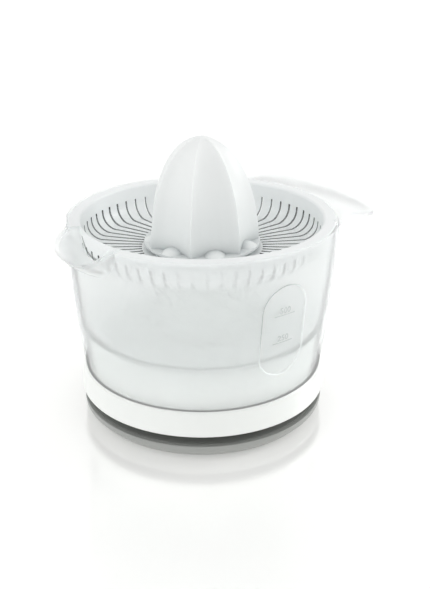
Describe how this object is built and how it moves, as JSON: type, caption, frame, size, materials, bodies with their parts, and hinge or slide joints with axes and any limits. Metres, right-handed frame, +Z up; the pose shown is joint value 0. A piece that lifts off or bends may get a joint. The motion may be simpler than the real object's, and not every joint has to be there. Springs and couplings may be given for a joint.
{
  "type": "electric citrus press",
  "caption": "Round electric citrus press: motor base with cord groove, lift-off frosted jug with spout and wing handle, slotted juice sieve and fluted reaming cone.",
  "frame": {"origin": "centre of the base plate's underside, on the drive axis; the feet stand 1 mm lower", "axes": "+Z up along the drive axis, +X towards the jug's handle, -X towards its spout, -Y towards the measuring window"},
  "size_m": [0.1961, 0.16, 0.1683],
  "materials": {
    "shell_white": "satin moulded ABS",
    "frosted_white": "frosted translucent polypropylene",
    "sieve_white": "fine satin polypropylene",
    "cone_white": "satin moulded plastic",
    "lower_grey": "fine-textured grey plastic",
    "groove_grey": "fine-textured dark grey plastic",
    "foot_rubber": "matt rubber",
    "seal_rubber": "matt rubber",
    "screw_steel": "zinc-plated",
    "shaft_steel": "ground",
    "spring_steel": "bright wire",
    "core_steel": "varnished laminations",
    "bearing_bronze": "sintered bronze",
    "winding_copper": "enamelled wire",
    "bobbin_black": "moulded nylon",
    "gear_natural": "natural acetal",
    "magnet_ferrite": "sintered ferrite",
    "chassis_nylon": "glass-filled nylon",
    "switch_black": "phenolic",
    "button_red": "acetal",
    "plunger_nylon": "acetal"
  },
  "bodies": {
    "base": {"base_plate": "lower_grey", "rubber_feet": "foot_rubber", "base_screws": "screw_steel", "cord_spool": "groove_grey", "cord_gland": "seal_rubber", "motor_housing": "shell_white", "chassis_plate": "chassis_nylon", "chassis_screws": "screw_steel", "bridge_plate": "chassis_nylon", "bridge_screws": "screw_steel", "axle_pins": "shaft_steel", "stator_core": "core_steel", "coil_bobbins": "bobbin_black", "coil_windings": "winding_copper", "bearing_bracket": "screw_steel", "motor_screws": "screw_steel", "rotor_bushes": "bearing_bronze", "upper_bush": "bearing_bronze", "lower_bush": "bearing_bronze", "shaft_seal": "seal_rubber", "micro_switch": "switch_black", "switch_screws": "screw_steel", "press_spring": "spring_steel"},
    "plunger": {"press_plunger": "plunger_nylon", "thrust_ball": "shaft_steel"},
    "drive": {"drive_shaft": "shaft_steel", "output_gear": "gear_natural", "retaining_clip": "spring_steel"},
    "second_gear": {"second_gear": "gear_natural"},
    "first_gear": {"first_gear": "gear_natural"},
    "rotor": {"rotor_shaft": "shaft_steel", "magnet_rotor": "magnet_ferrite", "motor_pinion": "gear_natural"},
    "lever": {"switch_lever": "spring_steel"},
    "button": {"switch_button": "button_red"},
    "jug": {"jug": "frosted_white"},
    "sieve": {"sieve": "sieve_white"},
    "sleeve": {"drive_sleeve": "cone_white"},
    "cone_hub": {"cone_hub": "cone_white"},
    "cone": {"cone": "cone_white"}
  },
  "joints": [
    {"name": "press_slide", "type": "slide", "parent": "base", "child": "plunger", "axis": [0, 0, 1], "range_m": [-0.0025, 0], "stiffness_N_per_m": 2000, "springref_m": 0.003, "deforming": ["press_spring"]},
    {"name": "drive_spin", "type": "hinge", "parent": "plunger", "child": "drive", "pos_m": [0, 0, 0.044], "axis": [0, 0, 1], "continuous": true},
    {"name": "second_gear_spin", "type": "hinge", "parent": "base", "child": "second_gear", "pos_m": [-0.01328, 0.02299, 0.04], "axis": [0, 0, 1], "continuous": true},
    {"name": "first_gear_spin", "type": "hinge", "parent": "base", "child": "first_gear", "pos_m": [-0.03432, 0.01616, 0.036], "axis": [0, 0, 1], "continuous": true},
    {"name": "rotor_spin", "type": "hinge", "parent": "base", "child": "rotor", "pos_m": [-0.024, 0, 0.018], "axis": [0, 0, 1], "continuous": true},
    {"name": "lever_pivot", "type": "hinge", "parent": "base", "child": "lever", "pos_m": [0.0302, 0, 0.0155], "axis": [0, 1, 0], "range_deg": [-8.05, 0]},
    {"name": "button_slide", "type": "slide", "parent": "base", "child": "button", "axis": [0, 0, 1], "range_m": [-0.00078, 0]},
    {"name": "jug_lift", "type": "slide", "parent": "base", "child": "jug", "axis": [0, 0, 1], "range_m": [0, 0.1]},
    {"name": "sieve_lift", "type": "slide", "parent": "jug", "child": "sieve", "axis": [0, 0, 1], "range_m": [0, 0.03]},
    {"name": "sleeve_spin", "type": "hinge", "parent": "sieve", "child": "sleeve", "pos_m": [0, 0, 0.1], "axis": [0, 0, 1], "continuous": true},
    {"name": "cone_press", "type": "slide", "parent": "sleeve", "child": "cone_hub", "axis": [0, 0, 1], "range_m": [-0.0025, 0]},
    {"name": "cone_lift", "type": "slide", "parent": "cone_hub", "child": "cone", "axis": [0, 0, 1], "range_m": [0, 0.03]}
  ],
  "couplings": [
    {"joint": "drive_spin", "follows": "sleeve_spin", "ratio": 1},
    {"joint": "second_gear_spin", "follows": "sleeve_spin", "ratio": -3.5385},
    {"joint": "first_gear_spin", "follows": "sleeve_spin", "ratio": 12.521},
    {"joint": "rotor_spin", "follows": "sleeve_spin", "ratio": -44.304},
    {"joint": "lever_pivot", "follows": "press_slide", "rad_per_m": 56.18},
    {"joint": "button_slide", "follows": "press_slide", "ratio": 0.30899},
    {"joint": "cone_press", "follows": "press_slide", "ratio": 1}
  ]
}
